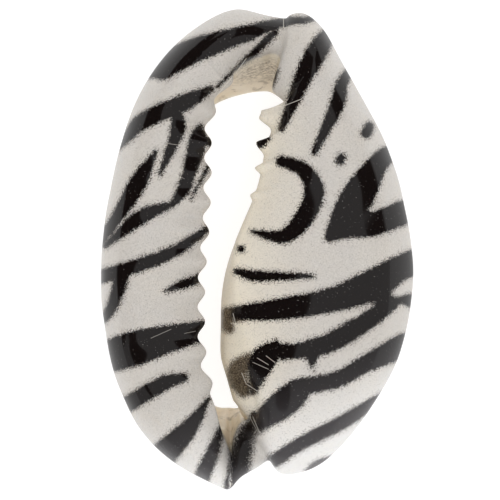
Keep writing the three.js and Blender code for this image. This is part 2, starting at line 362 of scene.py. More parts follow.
# %% Strokes on the outer lip
# Each stroke is a row of x, y, half-width.
LIP_STROKES = {
    "front band": [
        (-4.3, 8.4, 0.7), (-2.7, 9.1, 0.57), (-0.6, 9.8, 0.38), (1.2, 10.4, 0.24),
        (2.5, 10.6, 0.16), (4, 11.8, 0.18),
    ],
    "front band, side": [
        (-4.1, 8.5, 0.7), (-5.1, 8.75, 0.88), (-6.2, 9.5, 0.85), (-7.3, 10.6, 0.69),
    ],
    "front wisp": [
        (0.8, 9.9, 0.16), (0, 9.1, 0.17), (-1, 8.2, 0.08), (-1.8, 7.4, 0.06),
    ],
    "lip 2": [
        (-10, 3.7, 0.42), (-7.6, 4.3, 0.45), (-6.1, 5, 0.28), (-5.2, 5.8, 0.38),
        (-3.2, 6.7, 0.37), (-2.1, 7.3, 0.14),
    ],
    "lip 2 leg": [
        (-3.7, 6.3, 0.27), (-3.6, 5.4, 0.32), (-4.4, 3.4, 0.08),
    ],
    "lip 3": [
        (-4.6, 4.4, 0.1), (-5.4, 3, 0.4), (-6.7, 1, 0.28), (-8.6, -0.7, 0.5),
        (-10.6, -1.4, 0.55),
    ],
    "lip 3 lower": [
        (-3.7, 2.1, 0.1), (-5.2, 1.5, 0.33), (-6.9, 0.2, 0.14),
    ],
    "lip 4": [
        (-2.6, 5.55, 0.15), (-2.68, 5, 0.38), (-2.87, 4.2, 0.38), (-3.12, 3.35, 0.3),
        (-3.36, 2.7, 0.3), (-3.75, 2.15, 0.15),
    ],
    "lip 4 tooth": [
        (-2.8, 5, 0.23), (-2.1, 4.9, 0.2),
    ],
    "lip 4 wisp": [
        (-2.2, 3.8, 0.1), (-3, 2.3, 0.05),
    ],
    "lip 5": [
        (-2.3, 0.9, 0.16), (-3.8, -0.1, 0.27), (-5.9, -0.9, 0.32), (-8, -1.5, 0.3),
        (-9.4, -2.2, 0.1),
    ],
    "lip 5 leg": [
        (-6.1, -1, 0.37), (-6.5, -2.4, 0.28), (-7.1, -3.2, 0.23), (-8.5, -3.7, 0.4),
        (-10.4, -4.1, 0.5),
    ],
    "lip 6": [
        (-2.6, -1.3, 0.22), (-3.4, -1.6, 0.2), (-4.2, -1.9, 0.05),
    ],
    "lip 7": [
        (-2.5, -3.7, 0.46), (-3.8, -4, 0.6), (-5.6, -4.5, 0.78), (-7.7, -5.2, 0.7),
        (-10.8, -6.3, 0.78),
    ],
    "lip 8": [
        (-3.3, -5.8, 0.18), (-4.3, -6.1, 0.34), (-6.3, -7.3, 0.37), (-7.7, -8.2, 0.33),
        (-9.8, -9.5, 0.5),
    ],
    "lip 9": [
        (-2.2, -6.8, 0.07), (-3, -8, 0.37), (-4.2, -9.3, 0.6), (-5.9, -11.3, 0.73),
        (-7.1, -12.6, 0.6),
    ],
    "lip 10": [
        (-1.6, -8.1, 0.12), (-2, -9.2, 0.3), (-2.7, -10.9, 0.38), (-3.5, -13.5, 0.55),
    ],
    "lip 11": [
        (-1.2, -9.7, 0.05), (-1.4, -11.1, 0.12), (-1.4, -13.3, 0.37),
    ],
}
print(f"{len(LIP_STROKES)} strokes on the outer lip")

# %% [markdown]
# ## The stripes of the last whorl
#
# On the swollen side the stripes are longer and broader. They fork towards the widest line and end
# in points or blunt tips at the columella, round one crescent. A few short ones lie on the walls.

# %% Strokes on the last whorl
WHORL_STROKES = {
    "whorl 1": [
        (5.5, 12.3, 0.4), (3.6, 10.3, 0.28), (2.8, 9.1, 0.47), (2.1, 7.8, 0.4),
        (1.5, 6.4, 0.25), (1.1, 5.5, 0.14),
    ],
    "whorl 2": [
        (7.1, 10.3, 0.5), (4.7, 8.6, 0.2), (3.9, 7.6, 0.27), (3.6, 6.5, 0.33),
        (2.6, 4.4, 0.14),
    ],
    "spot 1": [
        (5.13, 5.62, 0.22), (4.97, 5.3, 0.25),
    ],
    "spot 2": [
        (3.82, 4.17, 0.2), (3.76, 4, 0.2),
    ],
    "spot 3": [
        (-0.78, 0.02, 0.14), (-0.68, 0.02, 0.14),
    ],
    "crescent": [
        (1.1, 4, 0.24), (2.1, 3.6, 0.33), (2.6, 2.6, 0.44), (2.1, 1.4, 0.42),
        (1.2, 0.6, 0.32), (-0.2, 0.8, 0.08),
    ],
    "side 1": [
        (8.8, 8.2, 0.55), (7.2, 7.4, 0.37), (6.1, 6.9, 0.1),
    ],
    "whorl 3": [
        (9.4, 5.7, 0.6), (6.6, 4.6, 0.41), (5.6, 4, 0.45), (4.5, 2.3, 0.74),
        (3.7, 1, 0.5), (3.2, 0.5, 0.15),
    ],
    "whorl 3 lower": [
        (4, 1, 0.5), (5.4, 1.3, 0.64), (7.5, 1.9, 0.46), (8.8, 2, 0.2),
    ],
    "whorl 4": [
        (-0.9, -1, 0.14), (0, -1.2, 0.24), (2.5, -1.2, 0.1),
    ],
    "whorl 5": [
        (-0.9, -2.9, 0.32), (1, -2.7, 0.48), (3.3, -2.3, 0.55), (5.3, -1.6, 0.72),
        (7.2, -0.6, 0.6), (10.6, 0, 0.73),
    ],
    "whorl 6": [
        (10.6, -3.7, 0.64), (7.1, -2.3, 0.38), (6.5, -2, 0.42), (5.1, -3.1, 0.47),
        (3.1, -4.3, 0.43), (1.2, -4.6, 0.4),
    ],
    "whorl 6 point": [
        (2.5, -4.6, 0.37), (2.5, -5.4, 0.05),
    ],
    "whorl 6 end": [
        (1, -4.4, 0.37), (0.2, -5.1, 0.57), (-0.2, -6.4, 0.23),
    ],
    "whorl 7": [
        (10.8, -6.1, 0.41), (8.6, -5.2, 0.56), (7.1, -4.4, 0.63), (5.1, -5.1, 0.41),
        (3.6, -5.9, 0.37), (1.9, -6.2, 0.37),
    ],
    "whorl 7 end": [
        (1.85, -6.4, 0.55), (1.35, -6.85, 0.64), (0.85, -7.25, 0.59), (0.35, -7.65, 0.46),
        (0, -8.15, 0.23),
    ],
    "whorl 8": [
        (9.6, -8.3, 0.6), (7.6, -7.2, 0.4), (6.1, -6.7, 0.25), (4, -7.8, 0.33),
        (2, -8.8, 0.3), (0.8, -9.6, 0.32),
    ],
    "whorl 9": [
        (3.4, -9.6, 0.12), (3.1, -9.68, 0.17), (2.65, -9.88, 0.18), (2.4, -10.4, 0.25),
        (2.75, -11.3, 0.34), (3.2, -12.6, 0.41),
    ],
    "rear lobe": [
        (-0.1, -7.6, 0.23), (-0.7, -9.2, 0.5), (-0.8, -11.2, 0.34), (-0.6, -13, 0.46),
    ],
    "side 2": [
        (1.2, -11.3, 0.09), (1.25, -12.2, 0.32), (1.3, -13.5, 0.41),
    ],
    "side 4": [
        (4.5, -9.7, 0.09), (5.2, -10.6, 0.37), (6.5, -12.1, 0.5),
    ],
    "side 3": [
        (-1.35, 11.6, 0.09), (-1.75, 12.6, 0.34), (-2, 14.2, 0.41),
    ],
    "side 5": [
        (-0.1, 11.5, 0.09), (-0.3, 12.4, 0.32), (-0.35, 13.9, 0.39),
    ],
    "side 6": [
        (-2.9, 10.95, 0.09), (-3.6, 12, 0.34), (-4.4, 13.6, 0.41),
    ],
    "front lobe": [
        (0.9, 8.1, 0.07), (0.7, 7.75, 0.16), (0.55, 7.4, 0.14),
    ],
    "tooth 2": [
        (0.5, 5.05, 0.09), (0.2, 4.85, 0.21), (0.05, 4.7, 0.11),
    ],
}
STROKES = LIP_STROKES | WHORL_STROKES
print(f"{len(STROKES)} strokes in all")

# %% [markdown]
# ## Worn and bare places
#
# Where the columella's face turns down into the slot the print has worn to a thin brown. Some broad
# stripes also have a bare notch or cleft in them, which is easier to take away than to draw round.

# %% Worn and bare places
# Strokes on the columella's face, where the print has worn thin.
WORN = {
    "end of whorl 5": [
        (-0.75, -2.95, 0.35), (-1.2, -3.0, 0.42), (-1.5, -3.2, 0.45), (-1.3, -3.55, 0.3),
    ],
    "end of whorl 6": [
        (-0.35, -5.1, 0.42), (-0.85, -5.4, 0.45), (-0.9, -5.9, 0.5), (-0.6, -6.4, 0.38),
    ],
}
# Places where the bare shell shows through a stroke.
BARE = {
    "whorl 3 notch": [
        (7.1, 2.9, 0.16), (6, 2.3, 0.27), (5.2, 1.8, 0.1),
    ],
    "whorl 5 notch": [
        (9.4, -1.6, 0.23), (7.3, -1.6, 0.38), (6.3, -2, 0.18),
    ],
    "whorl 5 cleft": [
        (5.2, -2.5, 0.1), (4.1, -3, 0.23), (3, -3.3, 0.19), (2, -3.8, 0.38),
        (1.2, -3.9, 0.37),
    ],
}
print(f"{len(WORN)} worn strokes and {len(BARE)} bare notches")

# %% [markdown]
# ## Distance to the paint
#
# A printed edge is easiest to soften and roughen when each point knows how far it lies from it. So
# the strokes become one number at each point: the distance to the nearest painted edge.

# %% Distances to strokes
# Distances in millimetres: the least half-width, how far round a stroke is looked, and none near.
THINNEST, LOOK_AROUND, FAR_AWAY = 0.02, 1.2, 9.0


def brush_path(points, steps=6):
    """A stroke's path: a Catmull-Rom curve through its points, each span cut into straight steps."""
    p = np.array(points, float)
    ends = np.vstack([2 * p[0] - p[1], p, 2 * p[-1] - p[-2]])
    t = (np.arange(steps) / steps)[:, None]
    spans = []
    for a, b, c, d in zip(ends, ends[1:], ends[2:], ends[3:]):
        square = (2 * a - 5 * b + 4 * c - d) * t**2
        cube = (3 * b - a - 3 * c + d) * t**3
        spans.append(0.5 * (2 * b + (c - a) * t + square + cube))
    path = np.vstack([*spans, p[-1:]])
    path[:, 2] = np.maximum(path[:, 2], THINNEST)
    return path


def distance_to_strokes(where, strokes):
    """Distance from each point of the map to the nearest painted edge, negative inside the paint."""
    nearest = np.full(len(where), FAR_AWAY)
    for points in strokes.values():
        path = brush_path(points)
        around = path[:, 2].max() + LOOK_AROUND
        low = path[:, :2].min(axis=0) - around
        high = path[:, :2].max(axis=0) + around
        close = np.flatnonzero(((where > low) & (where < high)).all(axis=1))
        if not len(close):
            continue
        spot = where[close]
        best = np.full(len(close), FAR_AWAY)
        for a, b in zip(path, path[1:]):
            run = b[:2] - a[:2]
            t = np.clip((spot - a[:2]) @ run / max(run @ run, 1e-9), 0, 1)
            half_width = a[2] + t * (b[2] - a[2])
            gap = np.linalg.norm(spot - a[:2] - t[:, None] * run, axis=1) - half_width
            best = np.minimum(best, gap)
        nearest[close] = np.minimum(nearest[close], best)
    return nearest


print(f"a stroke is looked for within {LOOK_AROUND} mm of its edge")

# %% [markdown]
# ## Laying the print on the shell
#
# Seen from above, the side walls would squeeze the stripes into nothing. On the real shell they run
# on down the sides, so the map unrolls each wall outwards from the widest line by its own length.

# %% The unrolled map
MARGIN_COLUMN = int(sum(RAIL_STEPS[:2]))
print_map = skin[:, :, :2].copy()
outline = skin[:, MARGIN_COLUMN, :2]
outline_run = np.roll(outline, -1, axis=0) - np.roll(outline, 1, axis=0)
# The walk round the ring runs anticlockwise, so a quarter turn clockwise points outwards.
outward = np.column_stack([outline_run[:, 1], -outline_run[:, 0]])
outward /= np.linalg.norm(outward, axis=1)[:, None]
wall = skin[:, : MARGIN_COLUMN + 1]
drop = np.linalg.norm(np.diff(wall, axis=1), axis=2)[:, ::-1].cumsum(axis=1)[:, ::-1]
print_map[:, :MARGIN_COLUMN] = outline[:, None] + outward[:, None] * drop[:, :, None]
flat_map = print_map.reshape(-1, 2)
ink_distance = distance_to_strokes(flat_map, STROKES)
ink_distance = np.maximum(ink_distance, -distance_to_strokes(flat_map, BARE))
worn_distance = distance_to_strokes(flat_map, WORN)
print(f"{(ink_distance < 0).mean():.0%} of the skin lies under the print")

# Places where the print went on blurred: x, y, radius, how blurred.
BLURRED = [(-0.55, -8.9, 1.7, 0.5), (-1.4, -3.2, 0.9, 0.3), (-0.75, -6.0, 1.2, 0.35)]
scatter = np.zeros(len(flat_map))
for x, y, radius, amount in BLURRED:
    gone = np.hypot(*(flat_map - (x, y)).T) / radius
    scatter = np.maximum(scatter, amount * np.clip(1.5 - 1.5 * gone, 0, 1))

# %% [markdown]
# ## Making the mesh
#
# The skin and the sawn rim are one closed grid, so the shell is a single watertight surface. The
# rim's faces stay flat with a sharp edge. Seven numbers are kept at each point for the finish: the
# distances to the print and to the worn print, how blurred the print is, how warm the white is, how
# far past the lip edge the point lies, whether it is on the inner wall, and whether on the base.

# %% Mesh
grid = np.concatenate([skin, cut_strip], axis=1)
rows = grid.shape[1]
low, high = grid.reshape(-1, 3).min(axis=0), grid.reshape(-1, 3).max(axis=0)
scale = shell_length / (high[1] - low[1])
middle = np.array([(low[0] + high[0]) / 2, (low[1] + high[1]) / 2, low[2]])
centre = np.array([(box_low.x + box_high.x) / 2, (box_low.y + box_high.y) / 2, box_low.z]) / MM
vertices = (grid.reshape(-1, 3) - middle) * scale + centre

i, j = np.meshgrid(np.arange(COLUMNS), np.arange(rows), indexing="ij")
i2, j2 = (i + 1) % COLUMNS, (j + 1) % rows
faces = np.stack([i * rows + j, i2 * rows + j, i2 * rows + j2, i * rows + j2], axis=-1).reshape(-1, 4)
on_cut = (j >= skin.shape[1] - 1).reshape(-1)

mesh = bpy.data.meshes.new("zebra_cowrie")
mesh.from_pydata((vertices * MM).tolist(), [], faces.tolist())
mesh.polygons.foreach_set("use_smooth", ~on_cut)
mesh.polygons.foreach_set("material_index", on_cut.astype(int))


def keep_number(name, values, on_rim):
    """Stores one number for each point: the given values on the skin, and on_rim across the cut."""
    full = np.full((COLUMNS, rows), float(on_rim))
    full[:, : skin.shape[1]] = np.reshape(values, (COLUMNS, -1))
    attribute = mesh.attributes.new(name, "FLOAT", "POINT")
    attribute.data.foreach_set("value", full.reshape(-1))


def ramp(value, start, end):
    """Rises smoothly from 0 at start to 1 at end."""
    share = np.clip((value - start) / (end - start), 0, 1)
    return share * share * (3 - 2 * share)


keep_number("ink_distance", ink_distance, FAR_AWAY)
keep_number("worn_distance", worn_distance, FAR_AWAY)
# The columella's side in stations, and how many rails across each change takes place.
WARM_FIRST, WARM_LAST, WARM_FADE = 18, 30, 2
WARM_START, WARM_RAILS = 4.6, 2.6
BASE_START, BASE_END = 2.1, 2.7
LIP_START, LIP_END, LIP_SHIFT = 8.2, 9.4, 0.5
WALL_START, WALL_END, WALL_SHIFT = 9.0, 11.2, 1.6
from_ends = np.minimum(along - WARM_FIRST, WARM_LAST - along)
warm_side = np.clip(from_ends / WARM_FADE, 0, 1)[:, None]
warmth = warm_side * np.clip((across - WARM_START) / WARM_RAILS, 0, 1)[None, :]
keep_number("scatter", scatter, 0)
keep_number("warmth", warmth, 0)
on_base = ramp(across, BASE_START, BASE_END)[None, :]
past_lip_share = ramp(across[None, :] - LIP_SHIFT * warm_side, LIP_START, LIP_END)
keep_number("past_lip", past_lip_share, 0)
inside_wall = ramp(across[None, :] - WALL_SHIFT * warm_side, WALL_START, WALL_END)
keep_number("inside", inside_wall, 0)
keep_number("on_base", on_base * (1 - inside_wall), 0)
mesh.validate()
mesh.update()
shell = bpy.data.objects.new("zebra_cowrie", mesh)
bpy.context.scene.collection.objects.link(shell)
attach(shell, "root")
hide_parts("shell")
print(f"{2 * len(faces)} triangles, scale {scale:.4f}")

# %% [markdown]
# ## The finish
#
# The shell is glazed by nature: a dense white porcelain under a thin clear gloss. Black and white
# shine alike, so one coat covers both. These helpers keep the node trees below short.

# %% Node helpers
def new_group(name, inputs, outputs):
    """A shader node group with named sockets, and its input and output nodes."""
    group = bpy.data.node_groups.new(name, "ShaderNodeTree")
    for socket, kind, value in inputs:
        made = group.interface.new_socket(socket, in_out="INPUT", socket_type=kind)
        if value is not None:
            made.default_value = value
    for socket, kind in outputs:
        group.interface.new_socket(socket, in_out="OUTPUT", socket_type=kind)
    return group, group.nodes.new("NodeGroupInput"), group.nodes.new("NodeGroupOutput")


def value_math(tree, operation, a, b=None, c=None, clamp=False):
    """One step of arithmetic on numbers or sockets."""
    node = tree.nodes.new("ShaderNodeMath")
    node.operation = operation
    node.use_clamp = clamp
    for socket, value in zip(node.inputs, (a, b, c)):
        if isinstance(value, bpy.types.NodeSocket):
            tree.links.new(value, socket)
        elif value is not None:
            socket.default_value = value
    return node.outputs[0]


def smooth_step(tree, value, start, end):
    """Rises smoothly from 0 at start to 1 at end."""
    node = tree.nodes.new("ShaderNodeMapRange")
    node.interpolation_type = "SMOOTHSTEP"
    for socket, given in (("Value", value), ("From Min", start), ("From Max", end)):
        if isinstance(given, bpy.types.NodeSocket):
            tree.links.new(given, node.inputs[socket])
        else:
            node.inputs[socket].default_value = given
    return node.outputs["Result"]


def noise(tree, vector, scale, detail=2.0, roughness=0.5):
    """Cloudy noise around one half, with features about 1 / scale wide."""
    node = tree.nodes.new("ShaderNodeTexNoise")
    node.inputs["Scale"].default_value = scale
    node.inputs["Detail"].default_value = detail
    node.inputs["Roughness"].default_value = roughness
    tree.links.new(vector, node.inputs["Vector"])
    return node.outputs["Fac"]


def mix_colour(tree, share, a, b):
    """Blends colour a into colour b by the share."""
    node = tree.nodes.new("ShaderNodeMix")
    node.data_type = "RGBA"
    sockets = {s.identifier: s for s in node.inputs}
    for key, value in (("Factor_Float", share), ("A_Color", a), ("B_Color", b)):
        if isinstance(value, bpy.types.NodeSocket):
            tree.links.new(value, sockets[key])
        else:
            sockets[key].default_value = value
    return {s.identifier: s for s in node.outputs}["Result_Color"]


def millimetres(tree):
    """The object's own coordinates, in millimetres."""
    coordinates = tree.nodes.new("ShaderNodeTexCoord")
    scaled = tree.nodes.new("ShaderNodeVectorMath")
    scaled.operation = "SCALE"
    scaled.inputs["Scale"].default_value = 1 / MM
    tree.links.new(coordinates.outputs["Object"], scaled.inputs[0])
    return scaled.outputs[0]


def kept_number(tree, name):
    """A number stored at the mesh's points."""
    node = tree.nodes.new("ShaderNodeAttribute")
    node.attribute_name = name
    return node.outputs["Fac"]


print("node helpers ready")

# %% [markdown]
# ## The sandy edge of the print
#
# Seen close, the print has no clean edge: it breaks into grains, and black specks lie scattered in
# the white beside it. Noise is added to the distance before it is cut, which moves the edge to and
# fro, and specks grow rarer with distance. A blurred print has a wider, softer edge.

# %% Print mask
# Sizes of the noises, in features per millimetre, and how far they move the edge.
GRAIN_SCALE, GRAIN_REACH, GRAIN_REACH_BLURRED = 18.0, 0.53, 1.6
WAVER_SCALE, WAVER_REACH = 3.0, 0.10
EDGE_SOFTNESS, EDGE_SOFTNESS_BLURRED = 0.012, 0.25
# Specks: their size, how far from the print they thin out, and how strong they are near it.
SPECK_SCALE, SPECK_FADE, SPECK_STRENGTH, SPECK_STRENGTH_LOSS = 20.0, 0.3, 0.95, -0.65
SPECK_LEVEL, SPECK_LEVEL_RISE, SPECK_EDGE = 0.53, 0.16, 0.04

print_group, given, result = new_group(
    "sandy print edge",
    [
        ("Position", "NodeSocketVector", None),
        ("Distance", "NodeSocketFloat", 1.0),
        ("Scatter", "NodeSocketFloat", 0.0),
    ],
    [("Ink", "NodeSocketFloat"), ("Pepper", "NodeSocketFloat")],
)
position, distance, spread = (given.outputs[name] for name in ("Position", "Distance", "Scatter"))
grain_noise = noise(print_group, position, GRAIN_SCALE, 2.0, 0.9)
grain = value_math(print_group, "SUBTRACT", grain_noise, 0.5)
waver = value_math(print_group, "SUBTRACT", noise(print_group, position, WAVER_SCALE, 2.0), 0.5)
grain_reach = value_math(print_group, "MULTIPLY_ADD", spread, GRAIN_REACH_BLURRED, GRAIN_REACH)
sandy = value_math(print_group, "MULTIPLY_ADD", grain, grain_reach, distance)
sandy = value_math(print_group, "MULTIPLY_ADD", waver, WAVER_REACH, sandy)
softness = value_math(print_group, "MULTIPLY_ADD", spread, EDGE_SOFTNESS_BLURRED, EDGE_SOFTNESS)
softness_back = value_math(print_group, "MULTIPLY", softness, -1.0)
ink = smooth_step(print_group, sandy, softness, softness_back)
print_group.links.new(ink, result.inputs["Ink"])

specks = noise(print_group, position, SPECK_SCALE, 0.0, 0.5)
away = smooth_step(print_group, distance, 0.0, SPECK_FADE)
level = value_math(print_group, "MULTIPLY_ADD", away, SPECK_LEVEL_RISE, SPECK_LEVEL)
pepper = smooth_step(print_group, specks, level, value_math(print_group, "ADD", level, SPECK_EDGE))
strength = value_math(print_group, "MULTIPLY_ADD", away, SPECK_STRENGTH_LOSS, SPECK_STRENGTH)
pepper = value_math(print_group, "MULTIPLY", pepper, strength)
print_group.links.new(pepper, result.inputs["Pepper"])
print(f"{len(print_group.nodes)} nodes make the print's edge")

# %% [markdown]
# ## Painted highlights
#
# Thin pale lines cross the print and follow the edge of the canals: painted highlights, where fine
# ridges and edges would catch the light. Each is a short straight line that shows where a point lies
# near it.

# %% Painted highlight lines
LINE_WIDTH = 0.02
LINE_CORE = 0.4
LINE_STRENGTH = 0.75
# Each line: x, y where it starts, x, y where it ends, how bright it is.
HIGHLIGHT_LINES = [
    (-1.1, -2.9, -1, -3.3, 0.75),
    (-1, -3.3, -0.7, -3.6, 0.75),
    (-0.7, -5.6, -0.5, -6.1, 0.7),
    (-0.5, -6.1, 0, -6.4, 0.7),
    (0, -4.9, 0.5, -5.2, 0.6),
    (0.4, -4.8, 0.8, -5.1, 0.6),
    (-0.2, -5.1, 0.5, -5.4, 0.5),
    (-0.2, -7.6, 0.1, -8.3, 0.55),
    (-0.5, 8.7, -1, 8, 0.8),
    (-1, 8, -1.9, 6.9, 0.85),
    (0.2, 6.4, 1.2, 6.5, 0.8),
    (1.2, 6.5, 2, 6.8, 0.8),
    (1.2, 10.7, 1.2, 10.1, 0.7),
    (-4.8, -4, -3.9, -3.6, 0.35),
    (-3.3, -3.8, -2.8, -3.7, 0.3),
    (-1.1, -3.1, -1.1, -3.7, 0.3),
    (-0.6, -6.7, -0.4, -7, 0.4),
    (-4.1, 4.8, -3.4, 4.7, 0.4),
    (-3.7, 3.4, -3.3, 3.2, 0.3),
    (-0.4, -7.5, 0.2, -8.6, 0.35),
]
print(f"{len(HIGHLIGHT_LINES)} fine lines")

# %% [markdown]
# ## Drawing a line
#
# One node group draws any line. It finds the nearest place on the line, as the share of its length
# that lies behind a point, and fades with the distance from there. The lines are stacked as the
# strongest of all.

# %% One line as nodes
highlight_line_group, given, result = new_group(
    "fine line",
    [
        ("Position", "NodeSocketVector", None),
        ("Start", "NodeSocketVector", None),
        ("End", "NodeSocketVector", None),
        ("Width", "NodeSocketFloat", LINE_WIDTH),
    ],
    [("Line", "NodeSocketFloat")],
)


def vector_math(tree, operation, a, b=None, scale=None):
    """One step of arithmetic on vectors or sockets."""
    node = tree.nodes.new("ShaderNodeVectorMath")
    node.operation = operation
    for socket, value in zip(node.inputs, (a, b)):
        if isinstance(value, bpy.types.NodeSocket):
            tree.links.new(value, socket)
        elif value is not None:
            socket.default_value = value
    if scale is not None:
        tree.links.new(scale, node.inputs["Scale"])
    return node.outputs["Value" if operation in ("DOT_PRODUCT", "LENGTH") else "Vector"]


flat = vector_math(highlight_line_group, "MULTIPLY", given.outputs["Position"], (1, 1, 0))
from_start = vector_math(highlight_line_group, "SUBTRACT", flat, given.outputs["Start"])
run = vector_math(highlight_line_group, "SUBTRACT", given.outputs["End"], given.outputs["Start"])
share = value_math(
    highlight_line_group,
    "DIVIDE",
    vector_math(highlight_line_group, "DOT_PRODUCT", from_start, run),
    vector_math(highlight_line_group, "DOT_PRODUCT", run, run),
    clamp=True,
)
off = vector_math(highlight_line_group, "SUBTRACT", from_start, vector_math(highlight_line_group, "SCALE", run, scale=share))
off = vector_math(highlight_line_group, "LENGTH", off)
near = value_math(highlight_line_group, "MULTIPLY", given.outputs["Width"], LINE_CORE)
highlight_line_group.links.new(smooth_step(highlight_line_group, off, given.outputs["Width"], near), result.inputs["Line"])


def all_painted_highlights(tree, position):
    """How strongly any of the painted highlight lines shows at each place."""
    strongest = None
    for x0, y0, x1, y1, bright in HIGHLIGHT_LINES:
        node = tree.nodes.new("ShaderNodeGroup")
        node.node_tree = highlight_line_group
        tree.links.new(position, node.inputs["Position"])
        node.inputs["Start"].default_value = (x0, y0, 0)
        node.inputs["End"].default_value = (x1, y1, 0)
        shown = value_math(tree, "MULTIPLY", node.outputs["Line"], LINE_STRENGTH * bright)
        strongest = shown if strongest is None else value_math(tree, "MAXIMUM", strongest, shown)
    return strongest


print(f"{len(highlight_line_group.nodes)} nodes draw one line")

# %% [markdown]
# ## Colours
#
# The white isn't one white: the porcelain drifts a little in tone, warms to cream on the columella's
# face, and is ivory on the inner wall, lightened there as painted light from the table below, with
# darker brown mottling heaviest in the front corner. The black is a soft one.

# %% Colours
def linear(*rgb):
    """A colour given as 0 to 255 display values, as the light values that the shader works with."""
    c = np.array(rgb) / 255
    return (*np.where(c <= 0.04045, c / 12.92, ((c + 0.055) / 1.055) ** 2.4), 1.0)


WHITE, WHITE_WARMER = linear(203, 199, 195), linear(211, 205, 196)
CREAM, MOTTLE, PAINTED_LIGHT_WHITE = linear(237, 228, 210), linear(160, 154, 147), linear(250, 249, 247)
# The inner wall's ivory is lightened as painted light from the table below.
EDGE_IVORY, WALL_IVORY_PAINTED_LIGHT, INNER_BROWN = linear(226, 217, 198), linear(232, 221, 202), linear(120, 104, 84)
INK, PAINTED_LIGHT_INK, INK_PAST_LIP = linear(19, 14, 13), linear(78, 75, 77), linear(80, 70, 57)
# The last colour on the next line is that of the painted highlight lines.
PEPPER, SALT, PAINTED_HIGHLIGHT = linear(70, 62, 56), linear(190, 186, 180), linear(236, 230, 220)
WORN_PALE, WORN_DARK = linear(128, 114, 94), linear(50, 42, 35)
CHALK = linear(222, 216, 204)
print("ink is", np.round(INK[:3], 4))

# %% [markdown]
# ## Where the ink lies
#
# Ink is left out on the inner wall and thins past the lip edge. Towards the rear the whole shell is
# painted paler, white and black alike, as painted light, except beside the small lobe at the rear canal.

# %% Ink, and the painted light towards the rear
material = bpy.data.materials.new("printed_porcelain")
material.use_nodes = True
tree = material.node_tree
position = millimetres(tree)
past_lip = kept_number(tree, "past_lip")
inner = kept_number(tree, "inside")
not_inner = value_math(tree, "SUBTRACT", 1.0, inner)


def print_layer(distance_name, scatter):
    """The print's mask and specks, for the strokes whose distance is kept under the given name."""
    node = tree.nodes.new("ShaderNodeGroup")
    node.node_tree = print_group
    tree.links.new(position, node.inputs["Position"])
    tree.links.new(kept_number(tree, distance_name), node.inputs["Distance"])
    if isinstance(scatter, bpy.types.NodeSocket):
        tree.links.new(scatter, node.inputs["Scatter"])
    else:
        node.inputs["Scatter"].default_value = scatter
    return node


def distance_from(place):
    """The distance of each point from a place given in millimetres."""
    return vector_math(tree, "LENGTH", vector_math(tree, "SUBTRACT", position, place))


printed = print_layer("ink_distance", kept_number(tree, "scatter"))
worn = print_layer("worn_distance", 0.3)
ink_left = value_math(tree, "MULTIPLY_ADD", past_lip, -0.35, 1.0)
ink_left = value_math(tree, "MULTIPLY", ink_left, not_inner)
ink_strength = value_math(tree, "MULTIPLY", printed.outputs["Ink"], ink_left)
worn_strength = value_math(tree, "MULTIPLY", worn.outputs["Ink"], ink_left)

# Painted light: towards the rear, white and ink are both painted paler, except near the rear lobe.
PAINTED_LIGHT_DIRECTION, PAINTED_LIGHT_START, PAINTED_LIGHT_END = (0.35, -1.0, 0.0), 5.3, 11.5
REAR_LOBE, LOBE_START, LOBE_END = (-0.5, -8.6, 4.5), 0.8, 2.4
from_front = vector_math(tree, "DOT_PRODUCT", position, PAINTED_LIGHT_DIRECTION)
painted_light = smooth_step(tree, from_front, PAINTED_LIGHT_START, PAINTED_LIGHT_END)
off_lobe = smooth_step(tree, distance_from(REAR_LOBE), LOBE_START, LOBE_END)
painted_light = value_math(tree, "MULTIPLY", painted_light, off_lobe)
print("masks for ink and wash made")

# %% [markdown]
# ## The white of the shell
#
# The layers go on in order: porcelain, cream, mottling, the painted light that pales the rear, the
# ivory of the lip edge and the inner wall, lightened on the wall as painted light from below, then
# darker brown on the inner wall, most of all in the front corner, and black specks.

# %% White
# The inner wall is darker brown round this place in the front corner.
BROWN_CORNER, CORNER_RADIUS, CORNER_CORE = (0.45, 7.8, 3.0), 2.4, 0.7
warm_here = kept_number(tree, "warmth")
white = mix_colour(tree, noise(tree, position, 0.45, 2.0), WHITE, WHITE_WARMER)
white = mix_colour(tree, warm_here, white, CREAM)
mottle = smooth_step(tree, noise(tree, position, 17.0, 2.0, 0.8), 0.32, 0.68)
mottle_strength = value_math(tree, "MULTIPLY_ADD", warm_here, -0.25, 0.42)
white = mix_colour(tree, value_math(tree, "MULTIPLY", mottle, mottle_strength), white, MOTTLE)
# Painted light: the white is painted paler towards the rear.
white = mix_colour(tree, value_math(tree, "MULTIPLY", painted_light, 0.75), white, PAINTED_LIGHT_WHITE)
white = mix_colour(tree, past_lip, white, EDGE_IVORY)
# The inner wall's ivory: its own tone, lightened as painted light from the table below.
white = mix_colour(tree, inner, white, WALL_IVORY_PAINTED_LIGHT)

# Darker brown mottling on the inner wall, heaviest in the front corner.
brown_share = smooth_step(tree, noise(tree, position, 1.6, 5.0, 0.7), 0.5, 0.72)
corner_mottle = smooth_step(tree, noise(tree, position, 5.0, 4.0, 0.8), 0.42, 0.6)
in_corner = smooth_step(tree, distance_from(BROWN_CORNER), CORNER_RADIUS, CORNER_CORE)
brown_share = value_math(tree, "MAXIMUM", brown_share, value_math(tree, "MULTIPLY", corner_mottle, in_corner))
brown_share = value_math(tree, "MULTIPLY", value_math(tree, "MULTIPLY", brown_share, inner), 0.75)
white = mix_colour(tree, brown_share, white, INNER_BROWN)
peppered = value_math(tree, "MULTIPLY", printed.outputs["Pepper"], not_inner)
white = mix_colour(tree, peppered, white, PEPPER)
print(f"{len(tree.nodes)} nodes so far")

# %% [markdown]
# ## The black, and all of it together
#
# The black holds a few pale grains where the ink missed. On the columella's face it has worn to a
# speckled brown. The painted highlight lines lie over everything.

